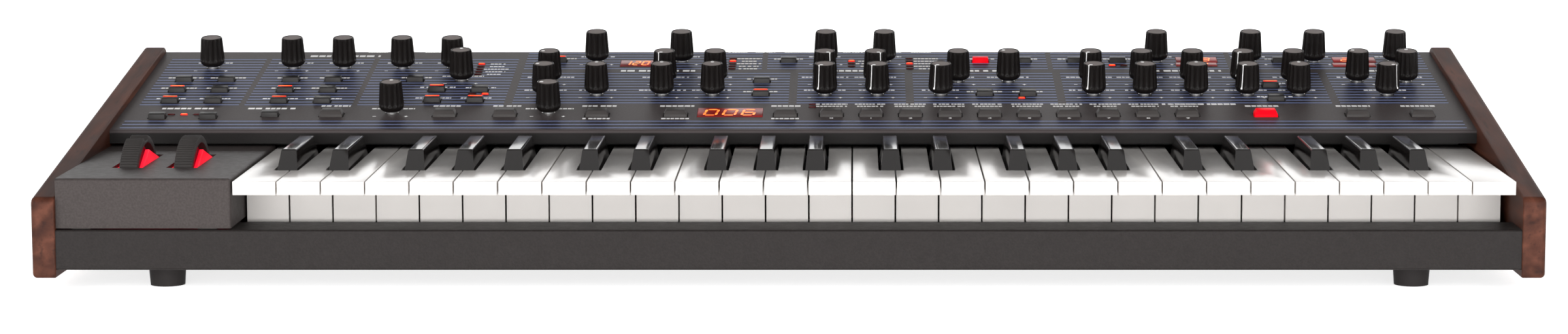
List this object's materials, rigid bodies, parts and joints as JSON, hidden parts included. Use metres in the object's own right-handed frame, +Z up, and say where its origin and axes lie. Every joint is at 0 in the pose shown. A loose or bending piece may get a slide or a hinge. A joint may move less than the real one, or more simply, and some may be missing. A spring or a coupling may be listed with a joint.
{
  "type": "synthesizer",
  "caption": "Analogue-style keyboard synthesizer with wooden cheeks, a sloping knob panel, glossy keys, lit pitch and mod wheels and a rear socket plate.",
  "frame": {"origin": "on the table under the middle of the instrument, at the centre of its footprint", "axes": "+X to the player's right, +Y away from the player, +Z up"},
  "size_m": [0.806, 0.3236, 0.1135],
  "materials": {
    "case_paint": "textured powder coat",
    "panel_paint": "satin with printed stripes",
    "walnut": "oiled",
    "red_lens": "translucent red, lit from below",
    "black_plastic": "moulded",
    "bright_steel": "plain",
    "black_rubber": "matt",
    "felt": "felt",
    "board": "solder mask",
    "nut_chrome": "bright",
    "red_lamp": "glowing",
    "red_window": "red tinted acrylic",
    "jack_black": "moulded",
    "black_screw": "black zinc",
    "knob_black": "satin moulded",
    "wheel_black": "ribbed tread",
    "button_black": "satin moulded",
    "key_white": "polished",
    "key_black": "polished"
  },
  "bodies": {
    "case": {"bottom_pan": "case_paint", "control_panel": "panel_paint", "rear_panel": "case_paint", "left_cheek": "walnut", "right_cheek": "walnut", "wheel_box": "case_paint", "wheel_wells": "red_lens", "wheel_bracket": "black_plastic", "keybed_frame": "black_plastic", "key_hinge_rod": "bright_steel", "key_contact_strip": "black_rubber", "key_felts": "felt", "panel_board": "board", "potentiometers": "bright_steel", "potentiometer_nuts": "nut_chrome", "tact_switches": "black_plastic", "indicator_leds": "red_lamp", "display_windows": "red_window", "circuit_boards": "board", "power_supply": "board", "audio_jacks": "jack_black", "data_sockets": "jack_black", "power_inlet": "black_plastic", "case_screws": "black_screw", "rubber_feet": "black_rubber", "foot_screws": "bright_steel", "rear_knobs": "knob_black"},
    "pitch_wheel": {"pitch_wheel": "wheel_black"},
    "mod_wheel": {"mod_wheel": "wheel_black"},
    "power_rocker": {"power_rocker": "black_plastic"},
    "keys_c": {"keys_c": "key_white"},
    "keys_c_sharp": {"keys_c_sharp": "key_black"},
    "keys_d": {"keys_d": "key_white"},
    "keys_d_sharp": {"keys_d_sharp": "key_black"},
    "keys_e": {"keys_e": "key_white"},
    "keys_f": {"keys_f": "key_white"},
    "keys_f_sharp": {"keys_f_sharp": "key_black"},
    "keys_g": {"keys_g": "key_white"},
    "keys_g_sharp": {"keys_g_sharp": "key_black"},
    "keys_a": {"keys_a": "key_white"},
    "keys_a_sharp": {"keys_a_sharp": "key_black"},
    "keys_b": {"keys_b": "key_white"},
    "small_buttons": {"small_buttons": "button_black"},
    "lit_buttons": {"lit_buttons": "red_lens"},
    "number_buttons": {"number_buttons": "button_black"},
    "wide_buttons": {"wide_buttons": "button_black"},
    "osc_one_shape_knob": {"osc_one_shape_knob": "knob_black"},
    "osc_two_shape_knob": {"osc_two_shape_knob": "knob_black"},
    "osc_two_fine_knob": {"osc_two_fine_knob": "knob_black"},
    "slop_knob": {"slop_knob": "knob_black"},
    "sub_octave_knob": {"sub_octave_knob": "knob_black"},
    "noise_knob": {"noise_knob": "knob_black"},
    "high_low_knob": {"high_low_knob": "knob_black"},
    "loudness_amount_knob": {"loudness_amount_knob": "knob_black"},
    "loudness_attack_knob": {"loudness_attack_knob": "knob_black"},
    "loudness_decay_knob": {"loudness_decay_knob": "knob_black"},
    "loudness_sustain_knob": {"loudness_sustain_knob": "knob_black"},
    "loudness_release_knob": {"loudness_release_knob": "knob_black"},
    "volume_knob": {"volume_knob": "knob_black"},
    "glide_knob": {"glide_knob": "knob_black"}
  },
  "joints": [
    {"name": "pitch_wheel_turn", "type": "hinge", "parent": "case", "child": "pitch_wheel", "pos_m": [-0.36081, -0.0828, 0.0389], "axis": [-1, 0, 0], "range_deg": [-30, 30], "stiffness_Nm_per_rad": 0.08},
    {"name": "mod_wheel_turn", "type": "hinge", "parent": "case", "child": "mod_wheel", "pos_m": [-0.33111, -0.0828, 0.0389], "axis": [-1, 0, 0], "range_deg": [0, 60]},
    {"name": "power_rocker_tilt", "type": "hinge", "parent": "case", "child": "power_rocker", "pos_m": [0.29, 0.1545, 0.048], "axis": [1, 0, 0], "range_deg": [0, 20]},
    {"name": "keys_c_press", "type": "hinge", "parent": "case", "child": "keys_c", "pos_m": [0, 0.0432, 0.045], "axis": [1, 0, 0], "range_deg": [0, 2.84], "stiffness_Nm_per_rad": 10, "springref_deg": -2.86},
    {"name": "keys_c_sharp_press", "type": "hinge", "parent": "case", "child": "keys_c_sharp", "pos_m": [0, 0.0432, 0.045], "axis": [1, 0, 0], "range_deg": [0, 2.84], "stiffness_Nm_per_rad": 10, "springref_deg": -2.86},
    {"name": "keys_d_press", "type": "hinge", "parent": "case", "child": "keys_d", "pos_m": [0, 0.0432, 0.045], "axis": [1, 0, 0], "range_deg": [0, 2.84], "stiffness_Nm_per_rad": 10, "springref_deg": -2.86},
    {"name": "keys_d_sharp_press", "type": "hinge", "parent": "case", "child": "keys_d_sharp", "pos_m": [0, 0.0432, 0.045], "axis": [1, 0, 0], "range_deg": [0, 2.84], "stiffness_Nm_per_rad": 10, "springref_deg": -2.86},
    {"name": "keys_e_press", "type": "hinge", "parent": "case", "child": "keys_e", "pos_m": [0, 0.0432, 0.045], "axis": [1, 0, 0], "range_deg": [0, 2.84], "stiffness_Nm_per_rad": 10, "springref_deg": -2.86},
    {"name": "keys_f_press", "type": "hinge", "parent": "case", "child": "keys_f", "pos_m": [0, 0.0432, 0.045], "axis": [1, 0, 0], "range_deg": [0, 2.84], "stiffness_Nm_per_rad": 10, "springref_deg": -2.86},
    {"name": "keys_f_sharp_press", "type": "hinge", "parent": "case", "child": "keys_f_sharp", "pos_m": [0, 0.0432, 0.045], "axis": [1, 0, 0], "range_deg": [0, 2.84], "stiffness_Nm_per_rad": 10, "springref_deg": -2.86},
    {"name": "keys_g_press", "type": "hinge", "parent": "case", "child": "keys_g", "pos_m": [0, 0.0432, 0.045], "axis": [1, 0, 0], "range_deg": [0, 2.84], "stiffness_Nm_per_rad": 10, "springref_deg": -2.86},
    {"name": "keys_g_sharp_press", "type": "hinge", "parent": "case", "child": "keys_g_sharp", "pos_m": [0, 0.0432, 0.045], "axis": [1, 0, 0], "range_deg": [0, 2.84], "stiffness_Nm_per_rad": 10, "springref_deg": -2.86},
    {"name": "keys_a_press", "type": "hinge", "parent": "case", "child": "keys_a", "pos_m": [0, 0.0432, 0.045], "axis": [1, 0, 0], "range_deg": [0, 2.84], "stiffness_Nm_per_rad": 10, "springref_deg": -2.86},
    {"name": "keys_a_sharp_press", "type": "hinge", "parent": "case", "child": "keys_a_sharp", "pos_m": [0, 0.0432, 0.045], "axis": [1, 0, 0], "range_deg": [0, 2.84], "stiffness_Nm_per_rad": 10, "springref_deg": -2.86},
    {"name": "keys_b_press", "type": "hinge", "parent": "case", "child": "keys_b", "pos_m": [0, 0.0432, 0.045], "axis": [1, 0, 0], "range_deg": [0, 2.84], "stiffness_Nm_per_rad": 10, "springref_deg": -2.86},
    {"name": "small_buttons_press", "type": "slide", "parent": "case", "child": "small_buttons", "axis": [0, 0.1616, -0.9869], "range_m": [0, 0.0008], "stiffness_N_per_m": 600, "springref_m": -0.001},
    {"name": "lit_buttons_press", "type": "slide", "parent": "case", "child": "lit_buttons", "axis": [0, 0.1616, -0.9869], "range_m": [0, 0.0008], "stiffness_N_per_m": 600, "springref_m": -0.001},
    {"name": "number_buttons_press", "type": "slide", "parent": "case", "child": "number_buttons", "axis": [0, 0.1616, -0.9869], "range_m": [0, 0.0008], "stiffness_N_per_m": 600, "springref_m": -0.001},
    {"name": "wide_buttons_press", "type": "slide", "parent": "case", "child": "wide_buttons", "axis": [0, 0.1616, -0.9869], "range_m": [0, 0.0008], "stiffness_N_per_m": 600, "springref_m": -0.001},
    {"name": "osc_one_shape_knob_turn", "type": "hinge", "parent": "case", "child": "osc_one_shape_knob", "pos_m": [-0.1485, 0.05956, 0.09147], "axis": [0, 0.1616, -0.9869], "range_deg": [-60, 240]},
    {"name": "osc_two_shape_knob_turn", "type": "hinge", "parent": "case", "child": "osc_two_shape_knob", "pos_m": [-0.1175, 0.05956, 0.09147], "axis": [0, 0.1616, -0.9869], "range_deg": [-150, 150]},
    {"name": "osc_two_fine_knob_turn", "type": "hinge", "parent": "case", "child": "osc_two_fine_knob", "pos_m": [-0.079, 0.05956, 0.09147], "axis": [0, 0.1616, -0.9869], "range_deg": [-150, 150]},
    {"name": "slop_knob_turn", "type": "hinge", "parent": "case", "child": "slop_knob", "pos_m": [-0.049, 0.05956, 0.09147], "axis": [0, 0.1616, -0.9869], "range_deg": [-150, 150]},
    {"name": "sub_octave_knob_turn", "type": "hinge", "parent": "case", "child": "sub_octave_knob", "pos_m": [0.0175, 0.05956, 0.09147], "axis": [0, 0.1616, -0.9869], "range_deg": [-5, 295]},
    {"name": "noise_knob_turn", "type": "hinge", "parent": "case", "child": "noise_knob", "pos_m": [0.0485, 0.05956, 0.09147], "axis": [0, 0.1616, -0.9869], "range_deg": [-5, 295]},
    {"name": "high_low_knob_turn", "type": "hinge", "parent": "case", "child": "high_low_knob", "pos_m": [0.086, 0.05956, 0.09147], "axis": [0, 0.1616, -0.9869], "range_deg": [-5, 295]},
    {"name": "loudness_amount_knob_turn", "type": "hinge", "parent": "case", "child": "loudness_amount_knob", "pos_m": [0.1764, 0.05956, 0.09147], "axis": [0, 0.1616, -0.9869], "range_deg": [-5, 295]},
    {"name": "loudness_attack_knob_turn", "type": "hinge", "parent": "case", "child": "loudness_attack_knob", "pos_m": [0.2067, 0.05956, 0.09147], "axis": [0, 0.1616, -0.9869], "range_deg": [-125, 175]},
    {"name": "loudness_decay_knob_turn", "type": "hinge", "parent": "case", "child": "loudness_decay_knob", "pos_m": [0.237, 0.05956, 0.09147], "axis": [0, 0.1616, -0.9869], "range_deg": [-150, 150]},
    {"name": "loudness_sustain_knob_turn", "type": "hinge", "parent": "case", "child": "loudness_sustain_knob", "pos_m": [0.2673, 0.05956, 0.09147], "axis": [0, 0.1616, -0.9869], "range_deg": [-5, 295]},
    {"name": "loudness_release_knob_turn", "type": "hinge", "parent": "case", "child": "loudness_release_knob", "pos_m": [0.2976, 0.05956, 0.09147], "axis": [0, 0.1616, -0.9869], "range_deg": [-150, 150]},
    {"name": "volume_knob_turn", "type": "hinge", "parent": "case", "child": "volume_knob", "pos_m": [0.35, 0.05956, 0.09147], "axis": [0, 0.1616, -0.9869], "range_deg": [-280, 20]},
    {"name": "glide_knob_turn", "type": "hinge", "parent": "case", "child": "glide_knob", "pos_m": [-0.2337, 0.0191, 0.08485], "axis": [0, 0.1616, -0.9869], "range_deg": [-150, 150]}
  ]
}
